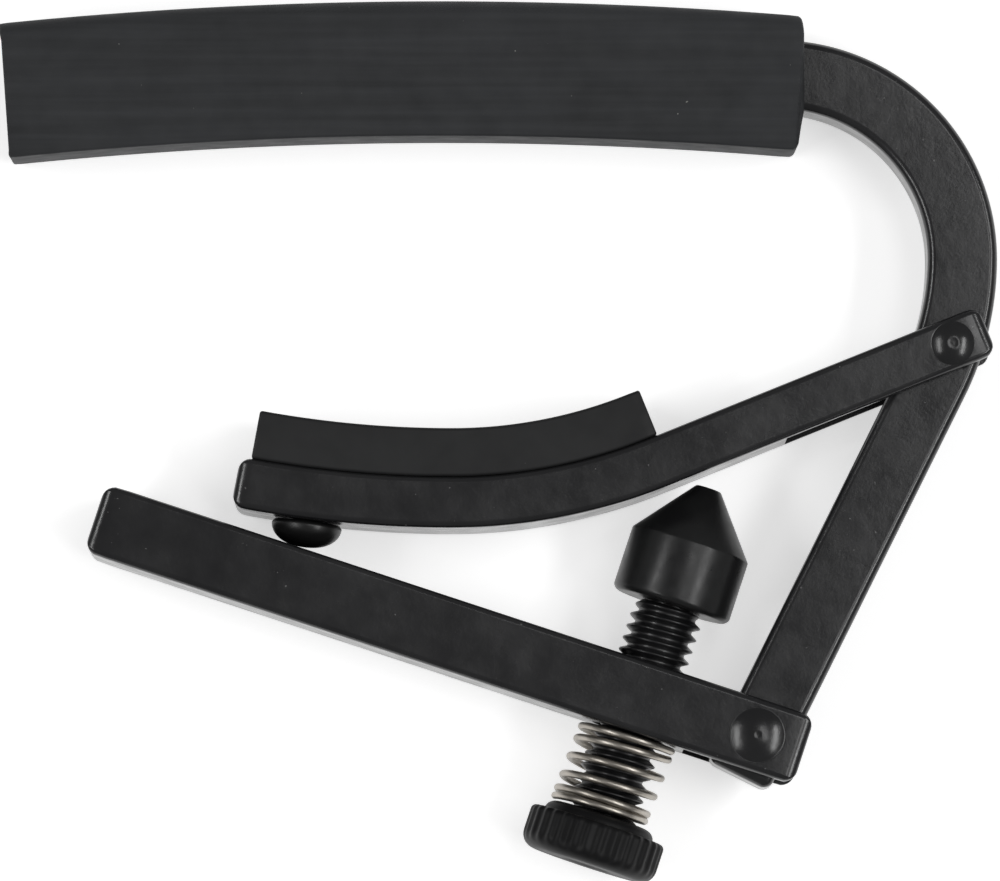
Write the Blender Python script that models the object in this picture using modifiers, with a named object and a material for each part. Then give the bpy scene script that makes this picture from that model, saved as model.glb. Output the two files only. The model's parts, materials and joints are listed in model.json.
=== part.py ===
"""A lever-operated guitar capo, lying on its side.

The drawing plane is XY: the fret bar runs along X at the top (+Y) and the lever lies at the bottom.
Z is the capo's depth, and the lowest point of the knurled knob touches Z = 0.
Run it with: blender --background --python part.py
"""

import math

import bmesh
import bpy
from mathutils import Vector

MM = 0.001

# Frame: one bar with a straight leg, a round bend and a long shallow fret arc. The lever's pivot is (0, 0).
BAR_WIDTH = 5.75 * MM
BAR_DEPTH = 5.8 * MM
LEG_LEAN = math.radians(26.5)
LEG_OVERRUN = 3.6 * MM
LEG_STRAIGHT = 32.7 * MM
PIVOT_SPAN = 36.0 * MM
EASE_RADIUS = 22.8 * MM
BEND_RADIUS = 15.2 * MM
FRET_RADIUS = 355.0 * MM
FRET_DROP = math.radians(4.64)
FRET_REACH = math.radians(5.6)

# Rubber sleeve over the fret bar, thicker towards the strings.
SLEEVE_DEPTH = 10.0 * MM
SLEEVE_TOP_WALL = 1.9 * MM
SLEEVE_STRING_WALL = 3.4 * MM
SLEEVE_REACH = math.radians(5.87)
SLEEVE_OVERLAP = 0.2 * MM

# Channels: the clamp arm and the lever are bars with a slot that straddles the frame.
CHANNEL_DEPTH = 8.8 * MM
SLOT_DEPTH = 6.4 * MM
WEB = 1.4 * MM
END_WALL = 2.0 * MM
CORNER = 0.9 * MM
EDGE = 0.5 * MM

# Clamp arm, from its pivot: a straight run, then two arcs that cradle the back of the neck.
ARM_HEIGHT = 4.2 * MM
ARM_LEAN = math.radians(22.0)
ARM_OVERRUN = 3.1 * MM
ARM_STRAIGHT = 26.2 * MM
ARM_NEAR_RADIUS = 44.9 * MM
ARM_FAR_RADIUS = 93.0 * MM
ARM_FAR_TURN = math.radians(11.0)
ARM_FORK = 15.5 * MM

# Rubber pad on the arm, with a rib that plugs into the arm's slot.
PAD_THICKNESS = 4.0 * MM
PAD_DEPTH = 8.2 * MM
PAD_START = 25.3 * MM
PAD_END_GAP = 0.9 * MM
RIB_DEPTH = 6.2 * MM
RIB_HEIGHT = 1.6 * MM

# Rubber bumper pushed into the arm's web, which meets the closed lever.
BUMPER_TURN = math.radians(7.2)
BUMPER_RADIUS = 2.9 * MM
BUMPER_HEIGHT = 2.1 * MM
BUMPER_NECK = 1.3 * MM
BUMPER_BULB = 1.9 * MM
BUMPER_BULB_HEIGHT = 0.8 * MM

# Lever.
LEVER_HEIGHT = 5.9 * MM
LEVER_LEAN = math.radians(18.2)
LEVER_LENGTH = 57.2 * MM
LEVER_OVERRUN = 4.0 * MM
LEVER_FORK = 5.4 * MM

# Rivets at the two pivots.
RIVET_RADIUS = 1.5 * MM
ARM_RIVET_HEAD = 1.8 * MM
LEVER_RIVET_HEAD = 2.3 * MM
RIVET_DOME = 0.6 * MM

# Adjusting screw: M6 x 1, square to the lever. Heights on it are measured from the lever's middle.
SCREW_STATION = 10.1 * MM
THREAD_RADIUS = 2.95 * MM
THREAD_ROOT = 2.4 * MM
THREAD_PITCH = 1.0 * MM
THREAD_SIDES = 16
SPIGOT_RADIUS = 2.0 * MM
SPIGOT_LENGTH = 2.5 * MM
BRIDGE_LENGTH = 9.0 * MM

# Tip cap, knob and spring, all on the screw.
CAP_BASE = 8.05 * MM
CAP_RADIUS = 5.0 * MM
CAP_BARREL = 5.35 * MM
CAP_CONE = 4.9 * MM
CAP_FLAT = 1.05 * MM
CAP_CHAMFER = 0.3 * MM
KNOB_RADIUS = 5.75 * MM
KNOB_TOP = -10.85 * MM
KNOB_HEIGHT = 3.5 * MM
KNOB_ROUND = 1.2 * MM
KNOB_SHOULDER = 0.8 * MM
KNOB_SEAT = 4.2 * MM
FLUTES = 32
FLUTE_CUT = 0.3 * MM
WIRE_RADIUS = 0.32 * MM
SPRING_RADIUS = 3.84 * MM
SPRING_TURNS = 5.5
SEATED_TURNS = 1.5
SPRING_SIDES = 16

# Gaps between pieces, and the distance within which points are one.
GAP = 0.1 * MM
RUNNING_GAP = 0.25 * MM
TIGHT = 0.0001 * MM

# Finishes: (red, green, blue), roughness and metallic value.
BLACK_METAL = ((0.018, 0.018, 0.02), 0.32, 0.0)
GREY_RUBBER = ((0.045, 0.05, 0.055), 0.7, 0.0)
BLACK_RUBBER = ((0.03, 0.031, 0.033), 0.75, 0.0)
BLACK_PLASTIC = ((0.01, 0.01, 0.011), 0.4, 0.0)
BRIGHT_STEEL = ((0.55, 0.53, 0.5), 0.25, 1.0)

LEG_WAY = Vector((math.sin(LEG_LEAN), math.cos(LEG_LEAN)))
ARM_PIVOT = PIVOT_SPAN * LEG_WAY


def clear_scene():
    for obj in list(bpy.data.objects):
        bpy.data.objects.remove(obj)


def new_collection(name):
    collection = bpy.data.collections.new(name)
    bpy.context.scene.collection.children.link(collection)
    return collection


def new_material(name, finish):
    colour, roughness, metallic = finish
    material = bpy.data.materials.new(name)
    material.use_nodes = True
    shader = material.node_tree.nodes["Principled BSDF"]
    shader.inputs["Base Color"].default_value = (*colour, 1.0)
    shader.inputs["Roughness"].default_value = roughness
    shader.inputs["Metallic"].default_value = metallic
    return material


def new_empty(name, parent, place, turn=(0, 0, 0)):
    """An axis: its children turn about it or slide along it."""
    empty = bpy.data.objects.new(name, None)
    PARTS.objects.link(empty)
    empty.parent = parent
    empty.location = place
    empty.rotation_euler = turn
    empty.empty_display_size = 3 * MM
    return empty


def extended(path, length, turn=0.0, steps=1):
    """A path of (x, y, heading) points, longer by a straight run or by an arc that turns left."""
    x, y, heading = path[-1]
    more = []
    for i in range(1, steps + 1):
        angle = heading + turn * i / steps
        if turn:
            radius = length / turn
            reach = radius * (math.sin(angle) - math.sin(heading))
            rise = radius * (math.cos(heading) - math.cos(angle))
        else:
            reach = length * math.cos(heading) * i / steps
            rise = length * math.sin(heading) * i / steps
        more.append((x + reach, y + rise, angle))
    return path + more


def ribbon(path, low, high):
    """The closed outline between two offsets from a path, measured to the path's left."""
    def side(offset, points):
        return [Vector((x - offset * math.sin(h), y + offset * math.cos(h))) for x, y, h in points]

    return side(low, path) + side(high, path[::-1])


def rounded(outline, radius, steps=4, sharp=math.radians(50)):
    """The outline with each sharp corner replaced by an arc."""
    done = []
    for i, corner in enumerate(outline):
        before = (outline[i - 1] - corner).normalized()
        after = (outline[(i + 1) % len(outline)] - corner).normalized()
        bend = before.angle(after)
        if math.pi - bend < sharp:
            done.append(corner)
            continue
        reach = radius / math.tan(bend / 2)
        centre = corner + (before + after).normalized() * radius / math.sin(bend / 2)
        first = corner + before * reach - centre
        last = corner + after * reach - centre
        start = math.atan2(first.y, first.x)
        sweep = math.remainder(math.atan2(last.y, last.x) - start, math.tau)
        angles = [start + sweep * i / steps for i in range(steps + 1)]
        done += [centre + radius * Vector((math.cos(a), math.sin(a))) for a in angles]
    return done


def finish_mesh(mesh):
    """Welds a mesh and turns its faces outward."""
    cage = bmesh.new()
    cage.from_mesh(mesh)
    bmesh.ops.remove_doubles(cage, verts=cage.verts, dist=TIGHT)
    bmesh.ops.recalc_face_normals(cage, faces=cage.faces)
    cage.to_mesh(mesh)
    cage.free()


def add_object(name, mesh, parent, finish=None):
    """Links a mesh as a part if it has a finish, or as a cutter if it has none."""
    obj = bpy.data.objects.new(name, mesh)
    obj.parent = parent
    if finish:
        PARTS.objects.link(obj)
        mesh.materials.append(new_material(name, finish))
    else:
        CUTTERS.objects.link(obj)
        obj.hide_render = True
        obj.display_type = "WIRE"
    return obj


def shade(obj):
    obj.data.shade_smooth()
    obj.data.set_sharp_from_angle(angle=math.radians(35))


def curve_mesh(curve):
    """The mesh of a curve, with its caps welded on."""
    holder = bpy.data.objects.new("outline", curve)
    PARTS.objects.link(holder)
    graph = bpy.context.evaluated_depsgraph_get()
    mesh = bpy.data.meshes.new_from_object(holder.evaluated_get(graph))
    bpy.data.objects.remove(holder)
    finish_mesh(mesh)
    return mesh


def plate(name, outline, depth, parent, finish=None):
    """A flat outline with a depth, centred on its own plane."""
    curve = bpy.data.curves.new(name, "CURVE")
    curve.dimensions = "2D"
    curve.fill_mode = "BOTH"
    curve.extrude = depth / 2
    spline = curve.splines.new("POLY")
    spline.points.add(len(outline) - 1)
    for point, corner in zip(spline.points, outline):
        point.co = (corner[0], corner[1], 0, 1)
    spline.use_cyclic_u = True
    return add_object(name, curve_mesh(curve), parent, finish)


def turned(name, profile, parent, finish=None, steps=24):
    """A profile of (radius, height) points turned about Z. The profile runs down the outer side."""
    mesh = bpy.data.meshes.new(name)
    mesh.from_pydata([(r, 0, z) for r, z in profile], [(i, i + 1) for i in range(len(profile) - 1)], [])
    obj = add_object(name, mesh, parent, finish)
    screw = obj.modifiers.new("turn", "SCREW")
    screw.axis = "Z"
    screw.steps = steps
    screw.render_steps = steps
    screw.use_merge_vertices = True
    screw.merge_threshold = 0.001 * MM
    return obj


def stacked(name, rings, parent, finish):
    """A closed loft through rings of points, capped at both ends."""
    cage = bmesh.new()
    loops = [[cage.verts.new(point) for point in ring] for ring in rings]
    for upper, lower in zip(loops, loops[1:]):
        for i in range(len(upper)):
            j = (i + 1) % len(upper)
            cage.faces.new((upper[i], lower[i], lower[j], upper[j]))
    cage.faces.new(loops[0])
    cage.faces.new(loops[-1][::-1])
    mesh = bpy.data.meshes.new(name)
    cage.to_mesh(mesh)
    cage.free()
    finish_mesh(mesh)
    return add_object(name, mesh, parent, finish)


def arc(centre, radius, first, last, steps):
    """Points of a profile's round corner, between two angles in degrees."""
    angles = [math.radians(first + (last - first) * i / steps) for i in range(steps + 1)]
    return [(centre[0] + radius * math.cos(a), centre[1] + radius * math.sin(a)) for a in angles]


def soften(obj, width, segments=2):
    """Rounds the edges where the flat sides meet the rim."""
    bevel = obj.modifiers.new("edges", "BEVEL")
    bevel.width = width
    bevel.segments = segments
    bevel.limit_method = "ANGLE"
    bevel.angle_limit = math.radians(60)


def combine(obj, other, operation="DIFFERENCE"):
    boolean = obj.modifiers.new(other.name, "BOOLEAN")
    boolean.operation = operation
    boolean.object = other


def drill(name, obj, radius, length, parent, place=(0, 0, 0), turn=(0, 0, 0)):
    """A round hole through an object, centred on a place."""
    half = length / 2
    bit = turned(name, [(0, half), (radius, half), (radius, -half), (0, -half)], parent)
    bit.location = place
    bit.rotation_euler = turn
    combine(obj, bit)


def leg_path(overrun):
    """The frame's centre line from below the lever's pivot up to the start of the fret arc."""
    start = [(-overrun * LEG_WAY.x, -overrun * LEG_WAY.y, math.pi / 2 - LEG_LEAN)]
    leg = extended(start, overrun + LEG_STRAIGHT)
    eased = extended(leg, EASE_RADIUS * LEG_LEAN, LEG_LEAN, 6)
    return extended(eased, BEND_RADIUS * (math.pi / 2 - FRET_DROP), math.pi / 2 - FRET_DROP, 18)


def fret_path(before, reach, steps):
    """The fret bar's centre line, from a distance before the fret arc to a turn past its crown."""
    x, y, heading = leg_path(LEG_OVERRUN)[-1]
    start = [(x - before * math.cos(heading), y - before * math.sin(heading), heading)]
    arc_turn = FRET_DROP + reach
    return extended(extended(start, before), FRET_RADIUS * arc_turn, arc_turn, steps)


def make_frame():
    arc_turn = FRET_DROP + FRET_REACH
    path = extended(leg_path(LEG_OVERRUN), FRET_RADIUS * arc_turn, arc_turn, 12)
    outline = rounded(ribbon(path, -BAR_WIDTH / 2, BAR_WIDTH / 2), CORNER)
    frame = plate("frame", outline, BAR_DEPTH, ROOT, BLACK_METAL)
    shade(frame)
    soften(frame, 0.6 * MM)
    drill("lever_pivot_hole", frame, RIVET_RADIUS + GAP, 2 * BAR_DEPTH, ROOT)
    drill("arm_pivot_hole", frame, RIVET_RADIUS + GAP, 2 * BAR_DEPTH, ROOT, ARM_PIVOT.to_3d())


def make_sleeve():
    """A rubber tube over the fret bar. The path's left is the side towards the strings."""
    path = fret_path(SLEEVE_OVERLAP, SLEEVE_REACH, 14)
    outline = ribbon(path, -BAR_WIDTH / 2 - SLEEVE_TOP_WALL, BAR_WIDTH / 2 + SLEEVE_STRING_WALL)
    sleeve = plate("fret_sleeve", outline, SLEEVE_DEPTH, ROOT, GREY_RUBBER)
    shade(sleeve)
    soften(sleeve, 0.5 * MM)
    half = BAR_WIDTH / 2 + GAP
    opening = ribbon(fret_path(2 * SLEEVE_OVERLAP, 1.1 * SLEEVE_REACH, 14), -half, half)
    combine(sleeve, plate("bar_opening", opening, BAR_DEPTH + 2 * GAP, ROOT))


def make_rivet(name, head, parent):
    """A pin with a shallow domed head on each side of the channel."""
    seat = CHANNEL_DEPTH / 2 + GAP
    ball = (head ** 2 + RIVET_DOME ** 2) / (2 * RIVET_DOME)
    span = math.degrees(math.asin(head / ball))
    upper = arc((0, seat + RIVET_DOME - ball), ball, 90, 90 - span, 4)
    lower = [(r, -z) for r, z in upper[::-1]]
    rivet = turned(name, upper + [(RIVET_RADIUS, seat), (RIVET_RADIUS, -seat)] + lower, parent, BLACK_METAL)
    shade(rivet)


def arm_path(before=0.0, steps=10):
    """The arm's centre line in its own frame, from its free end back to a distance past its pivot."""
    turn = ARM_FAR_TURN + ARM_LEAN
    far = [(0.0, 0.0, -ARM_FAR_TURN)]
    far = extended(far, ARM_FAR_RADIUS * ARM_FAR_TURN, ARM_FAR_TURN, steps)
    near = extended(far, ARM_NEAR_RADIUS * ARM_LEAN, ARM_LEAN, steps)
    whole = extended(near, ARM_STRAIGHT)
    x, y, heading = whole[-1]
    whole = extended(whole, before) if before else whole
    return [
        (
            (px - x) * math.cos(heading) + (py - y) * math.sin(heading),
            (py - y) * math.cos(heading) - (px - x) * math.sin(heading),
            h - heading,
        )
        for px, py, h in whole
    ]


def trimmed(path, start, end):
    """The stretch of an arm path between two distances from its free end."""
    kept = []
    gone = 0.0
    for (x0, y0, h0), (x1, y1, h1) in zip(path, path[1:]):
        step = math.hypot(x1 - x0, y1 - y0)
        low = max(start, gone)
        high = min(end, gone + step)
        if high > low:
            for place in ([low, high] if not kept else [high]):
                share = (place - gone) / step
                kept.append((x0 + (x1 - x0) * share, y0 + (y1 - y0) * share, h0 + (h1 - h0) * share))
        gone += step
    return kept


def make_arm():
    """The clamp arm. Its web is on the side away from the neck, and its near end is a fork."""
    half = ARM_HEIGHT / 2
    path = arm_path(ARM_OVERRUN)
    outline = rounded(ribbon(path, -half, half), CORNER)
    arm = plate("neck_arm", outline, CHANNEL_DEPTH, ARM_AXIS, BLACK_METAL)
    shade(arm)
    soften(arm, EDGE)
    length = sum(math.hypot(b[0] - a[0], b[1] - a[1]) for a, b in zip(path, path[1:]))
    groove = trimmed(path, END_WALL, length - ARM_OVERRUN)
    groove = extended(groove, 2 * ARM_OVERRUN)
    combine(arm, plate("arm_groove", ribbon(groove, WEB - half, 2 * half), SLOT_DEPTH, ARM_AXIS))
    fork = ribbon([(-ARM_FORK, 0, 0), (2 * ARM_OVERRUN, 0, 0)], -2 * half, 2 * half)
    combine(arm, plate("arm_fork", fork, SLOT_DEPTH, ARM_AXIS))
    drill("arm_rivet_hole", arm, RIVET_RADIUS + GAP, 2 * CHANNEL_DEPTH, ARM_AXIS)
    return arm


def make_pad():
    """The neck pad: a curved rubber strip with a rib along its underside."""
    path = arm_path()
    length = sum(math.hypot(b[0] - a[0], b[1] - a[1]) for a, b in zip(path, path[1:]))
    top = ARM_HEIGHT / 2
    strip = trimmed(path, PAD_END_GAP, length - PAD_START)
    outline = rounded(ribbon(strip, top + GAP, top + GAP + PAD_THICKNESS), 0.25 * MM, 2)
    pad = plate("neck_pad", outline, PAD_DEPTH, ARM_AXIS, BLACK_RUBBER)
    shade(pad)
    soften(pad, 0.3 * MM, 1)
    rib = trimmed(path, 2 * END_WALL, length - PAD_START - END_WALL)
    rib_outline = ribbon(rib, top - RIB_HEIGHT, top + 2 * GAP)
    combine(pad, plate("pad_rib", rib_outline, RIB_DEPTH, ARM_AXIS), "UNION")


def make_bumper(arm):
    """A rubber mushroom whose neck goes through the arm's web and whose bulb holds it there."""
    turn = BUMPER_TURN + ARM_LEAN
    centre = Vector((-ARM_STRAIGHT, ARM_NEAR_RADIUS))
    outward = Vector((math.sin(ARM_LEAN), math.cos(ARM_LEAN)))
    far_centre = centre + (ARM_FAR_RADIUS - ARM_NEAR_RADIUS) * outward
    down = Vector((-math.sin(turn), -math.cos(turn)))
    place = far_centre + (ARM_FAR_RADIUS + ARM_HEIGHT / 2) * down
    seat = new_empty("bumper_seat", ARM_AXIS, place.to_3d(), (math.radians(-90), 0, -turn))
    rim = BUMPER_HEIGHT - GAP
    floor = WEB + GAP
    crown = [
        (BUMPER_RADIUS * math.sin(math.radians(a)), -GAP - rim * math.cos(math.radians(a)))
        for a in range(90, -1, -15)
    ]
    upper = [
        (0, floor + BUMPER_BULB_HEIGHT),
        (BUMPER_NECK, floor + BUMPER_BULB_HEIGHT),
        (BUMPER_BULB, floor),
        (BUMPER_NECK, floor),
        (BUMPER_NECK, -GAP),
    ]
    bumper = turned("arm_bumper", upper + crown, seat, BLACK_RUBBER)
    shade(bumper)
    drill("bumper_hole", arm, BUMPER_NECK + GAP, 4 * WEB, seat)


def make_lever():
    """The lever, its web on the outside. It is left solid round the screw, and its near end is a fork."""
    half = LEVER_HEIGHT / 2
    outline = [(-LEVER_LENGTH, -half), (LEVER_OVERRUN, -half), (LEVER_OVERRUN, half), (-LEVER_LENGTH, half)]
    outline = rounded([Vector(corner) for corner in outline], CORNER)
    lever = plate("lever", outline, CHANNEL_DEPTH, LEVER_AXIS, BLACK_METAL)
    shade(lever)
    soften(lever, EDGE)
    left = END_WALL - LEVER_LENGTH
    right = -SCREW_STATION - BRIDGE_LENGTH / 2
    groove = [(left, WEB - half), (right, WEB - half), (right, 2 * half), (left, 2 * half)]
    combine(lever, plate("lever_groove", groove, SLOT_DEPTH, LEVER_AXIS))
    end = 2 * LEVER_OVERRUN
    fork = [(-LEVER_FORK, -2 * half), (end, -2 * half), (end, 2 * half), (-LEVER_FORK, 2 * half)]
    combine(lever, plate("lever_fork", fork, SLOT_DEPTH, LEVER_AXIS))
    drill("lever_rivet_hole", lever, RIVET_RADIUS + GAP, 2 * CHANNEL_DEPTH, LEVER_AXIS)
    drill("screw_hole", lever, THREAD_RADIUS + RUNNING_GAP, 2 * LEVER_HEIGHT, SCREW_AXIS)


def thread_radius(height, angle):
    """A triangular thread, rounded by its spacing of four points to a pitch."""
    phase = (height / THREAD_PITCH - angle / math.tau) % 1.0
    return THREAD_ROOT + (THREAD_RADIUS - THREAD_ROOT) * abs(2 * phase - 1)


def make_screw():
    """The threaded rod, with a plain spigot at each end that the cap and the knob are pressed on to."""
    top = CAP_BASE - GAP
    bottom = KNOB_TOP + KNOB_SHOULDER + GAP
    count = round((top - bottom) / (THREAD_PITCH / 4))
    angles = [math.tau * i / THREAD_SIDES for i in range(THREAD_SIDES)]

    def plain(height):
        return [(SPIGOT_RADIUS * math.cos(a), SPIGOT_RADIUS * math.sin(a), height) for a in angles]

    rings = [plain(top + SPIGOT_LENGTH), plain(top)]
    for i in range(count + 1):
        height = top + (bottom - top) * i / count
        radii = [thread_radius(height, a) for a in angles]
        rings.append([(r * math.cos(a), r * math.sin(a), height) for r, a in zip(radii, angles)])
    rings += [plain(bottom), plain(bottom - SPIGOT_LENGTH)]
    shade(stacked("adjusting_screw", rings, SCREW_AXIS, BLACK_METAL))


def make_cap():
    """The cone that bears on the arm. A blind bore takes the screw's spigot."""
    tip = CAP_BASE + CAP_BARREL + CAP_CONE
    bore = SPIGOT_RADIUS + GAP
    floor = CAP_BASE + SPIGOT_LENGTH + GAP
    profile = [
        (0, tip),
        (CAP_FLAT, tip),
        (CAP_RADIUS, CAP_BASE + CAP_BARREL),
        (CAP_RADIUS, CAP_BASE + CAP_CHAMFER),
        (CAP_RADIUS - CAP_CHAMFER, CAP_BASE),
        (bore, CAP_BASE),
        (bore, floor),
        (0, floor),
    ]
    shade(turned("tip_cap", profile, SCREW_AXIS, BLACK_PLASTIC, 32))


def make_knob():
    """The knurled knob: a turned body that keeps only what lies within a fluted outline."""
    shoulder = KNOB_TOP + KNOB_SHOULDER
    floor = shoulder - SPIGOT_LENGTH - GAP
    bottom = KNOB_TOP - KNOB_HEIGHT
    bore = SPIGOT_RADIUS + GAP
    profile = [(0, floor), (bore, floor), (bore, shoulder), (KNOB_SEAT, shoulder)]
    profile += [(KNOB_SEAT + 0.45 * MM, KNOB_TOP + 0.35 * MM), (KNOB_RADIUS - 0.4 * MM, KNOB_TOP)]
    profile += [(KNOB_RADIUS, KNOB_TOP - 0.3 * MM)]
    profile += arc((KNOB_RADIUS - KNOB_ROUND, bottom + KNOB_ROUND), KNOB_ROUND, 0, -90, 4)
    profile += [(0, bottom)]
    knob = turned("thumb_knob", profile, SCREW_AXIS, BLACK_METAL, 64)
    shade(knob)
    outline = []
    for i in range(4 * FLUTES):
        radius = KNOB_RADIUS + 0.001 * MM - FLUTE_CUT * (0, 0.5, 1, 0.5)[i % 4]
        angle = math.tau * i / (4 * FLUTES)
        outline.append((radius * math.cos(angle), radius * math.sin(angle)))
    flutes = plate("flutes", outline, 4 * KNOB_HEIGHT, SCREW_AXIS)
    flutes.location.z = KNOB_TOP
    combine(knob, flutes, "INTERSECT")


def make_spring():
    """The coil between the lever and the knob, with closed turns at both ends."""
    top = -LEVER_HEIGHT / 2 - GAP - WIRE_RADIUS
    bottom = KNOB_TOP + KNOB_SHOULDER + GAP + WIRE_RADIUS
    closed = 2.3 * WIRE_RADIUS
    open_rise = top - bottom - (SEATED_TURNS + 1) * closed
    curve = bpy.data.curves.new("screw_spring", "CURVE")
    curve.dimensions = "3D"
    curve.bevel_depth = WIRE_RADIUS
    curve.bevel_resolution = 1
    curve.use_fill_caps = True
    spline = curve.splines.new("POLY")
    count = round(SPRING_TURNS * SPRING_SIDES)
    spline.points.add(count)
    for i, point in enumerate(spline.points):
        turns = i / SPRING_SIDES
        open_share = min(max((turns - SEATED_TURNS) / (SPRING_TURNS - SEATED_TURNS - 1), 0), 1)
        closed_turns = min(turns, SEATED_TURNS) + max(turns - SPRING_TURNS + 1, 0)
        height = bottom + closed * closed_turns + open_rise * open_share
        angle = math.tau * (turns + 0.5)
        point.co = (SPRING_RADIUS * math.cos(angle), SPRING_RADIUS * math.sin(angle), height, 1)
    shade(add_object("screw_spring", curve_mesh(curve), SCREW_AXIS, BRIGHT_STEEL))


def outline_middle():
    """The middle of the whole capo's outline in the drawing plane."""
    bend = leg_path(LEG_OVERRUN)[-1]
    crown_x = bend[0] - FRET_RADIUS * math.sin(FRET_DROP)
    crown_y = bend[1] + FRET_RADIUS * (1 - math.cos(FRET_DROP))
    outer = FRET_RADIUS + BAR_WIDTH / 2 + SLEEVE_TOP_WALL
    left = crown_x - outer * math.sin(SLEEVE_REACH)
    top = crown_y + BAR_WIDTH / 2 + SLEEVE_TOP_WALL
    right = bend[0] - BEND_RADIUS * math.sin(FRET_DROP) + BEND_RADIUS + BAR_WIDTH / 2
    foot = KNOB_TOP - KNOB_HEIGHT + KNOB_ROUND
    lowest = foot * math.cos(LEVER_LEAN) - (KNOB_RADIUS - KNOB_ROUND) * math.sin(LEVER_LEAN) - KNOB_ROUND
    bottom = SCREW_STATION * math.sin(LEVER_LEAN) + lowest
    return Vector(((left + right) / 2, (top + bottom) / 2))


clear_scene()
PARTS = new_collection("guitar_capo")
CUTTERS = new_collection("cutters")
MIDDLE = outline_middle()
ROOT = new_empty("capo", None, (-MIDDLE.x, -MIDDLE.y, KNOB_RADIUS))
LEVER_AXIS = new_empty("lever_axis", ROOT, (0, 0, 0), (0, 0, -LEVER_LEAN))
ARM_AXIS = new_empty("arm_axis", ROOT, ARM_PIVOT.to_3d(), (0, 0, ARM_LEAN))
SCREW_AXIS = new_empty("screw_axis", LEVER_AXIS, (-SCREW_STATION, 0, 0), (math.radians(-90), 0, 0))

make_frame()
make_sleeve()
make_rivet("arm_rivet", ARM_RIVET_HEAD, ARM_AXIS)
make_rivet("lever_rivet", LEVER_RIVET_HEAD, LEVER_AXIS)
ARM = make_arm()
make_pad()
make_bumper(ARM)
make_lever()
make_screw()
make_cap()
make_knob()
make_spring()
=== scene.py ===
"""The finished look of the guitar capo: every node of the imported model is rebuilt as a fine, smooth piece."""

import json
import math

import bmesh
import bpy
from mathutils import Matrix, Vector


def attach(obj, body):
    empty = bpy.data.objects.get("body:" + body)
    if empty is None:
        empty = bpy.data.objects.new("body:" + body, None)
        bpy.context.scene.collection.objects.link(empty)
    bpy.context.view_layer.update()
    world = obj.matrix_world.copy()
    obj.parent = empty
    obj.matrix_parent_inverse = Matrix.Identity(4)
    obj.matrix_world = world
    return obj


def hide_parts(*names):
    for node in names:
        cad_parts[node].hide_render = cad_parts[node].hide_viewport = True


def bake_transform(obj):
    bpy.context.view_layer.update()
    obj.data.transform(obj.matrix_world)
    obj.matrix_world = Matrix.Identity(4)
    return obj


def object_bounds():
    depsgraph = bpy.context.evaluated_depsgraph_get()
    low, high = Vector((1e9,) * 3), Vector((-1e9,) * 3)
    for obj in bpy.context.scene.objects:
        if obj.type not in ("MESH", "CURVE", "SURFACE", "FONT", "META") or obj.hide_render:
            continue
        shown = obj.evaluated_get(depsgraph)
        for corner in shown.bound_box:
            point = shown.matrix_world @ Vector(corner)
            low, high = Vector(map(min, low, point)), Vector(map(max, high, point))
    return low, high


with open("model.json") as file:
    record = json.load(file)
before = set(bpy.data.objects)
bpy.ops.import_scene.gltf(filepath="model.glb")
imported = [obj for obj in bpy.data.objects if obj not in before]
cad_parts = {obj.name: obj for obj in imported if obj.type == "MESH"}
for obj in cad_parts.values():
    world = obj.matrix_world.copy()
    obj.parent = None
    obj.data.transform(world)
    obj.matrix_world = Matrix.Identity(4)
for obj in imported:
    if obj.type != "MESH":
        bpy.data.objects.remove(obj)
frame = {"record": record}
CAD_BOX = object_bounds()

MM = 0.001
JOINTS = {joint["name"]: joint for joint in frame["record"]["behaviour"]["joints"]}
LEVER_PIVOT = Vector(JOINTS["lever_pivot"]["pos_m"])
ARM_PIVOT = Vector(JOINTS["arm_pivot"]["pos_m"])
SCREW_PLACE = Vector(JOINTS["screw_turn"]["pos_m"])
SCREW_WAY = Vector(JOINTS["screw_turn"]["axis"]).normalized()
MIDDLE_Z = LEVER_PIVOT.z

# Frame bar.
BAR_WIDTH = 5.75 * MM
BAR_DEPTH = 5.8 * MM
BAR_EDGE = 0.7 * MM
BAR_CORNER = 0.9 * MM
LEG_OVERRUN = 3.6 * MM
LEG_STRAIGHT = 32.7 * MM
EASE_RADIUS = 22.8 * MM
BEND_RADIUS = 15.2 * MM
FRET_RADIUS = 355.0 * MM
FRET_DROP = math.radians(4.64)
FRET_REACH = math.radians(5.6)

# Rubber sleeve.
SLEEVE_DEPTH = 10.0 * MM
SLEEVE_TOP_WALL = 1.9 * MM
SLEEVE_STRING_WALL = 3.4 * MM
SLEEVE_REACH = math.radians(5.87)
SLEEVE_OVERLAP = 0.2 * MM
SLEEVE_TOP_ROUND = 1.3 * MM
SLEEVE_EDGE = 0.25 * MM
SLEEVE_HOLLOW = 0.45 * MM
SLEEVE_FLARE = 0.2 * MM
SLEEVE_BULGE = 1.1 * MM
SLEEVE_SKEW = 0.22 * MM
SLEEVE_LIP = 0.35 * MM

# Channels.
CHANNEL_DEPTH = 8.8 * MM
SLOT_DEPTH = 6.4 * MM
WEB = 1.4 * MM
END_WALL = 2.0 * MM
CHANNEL_EDGE = 0.55 * MM
CUT_EDGE = 0.12 * MM

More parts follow.
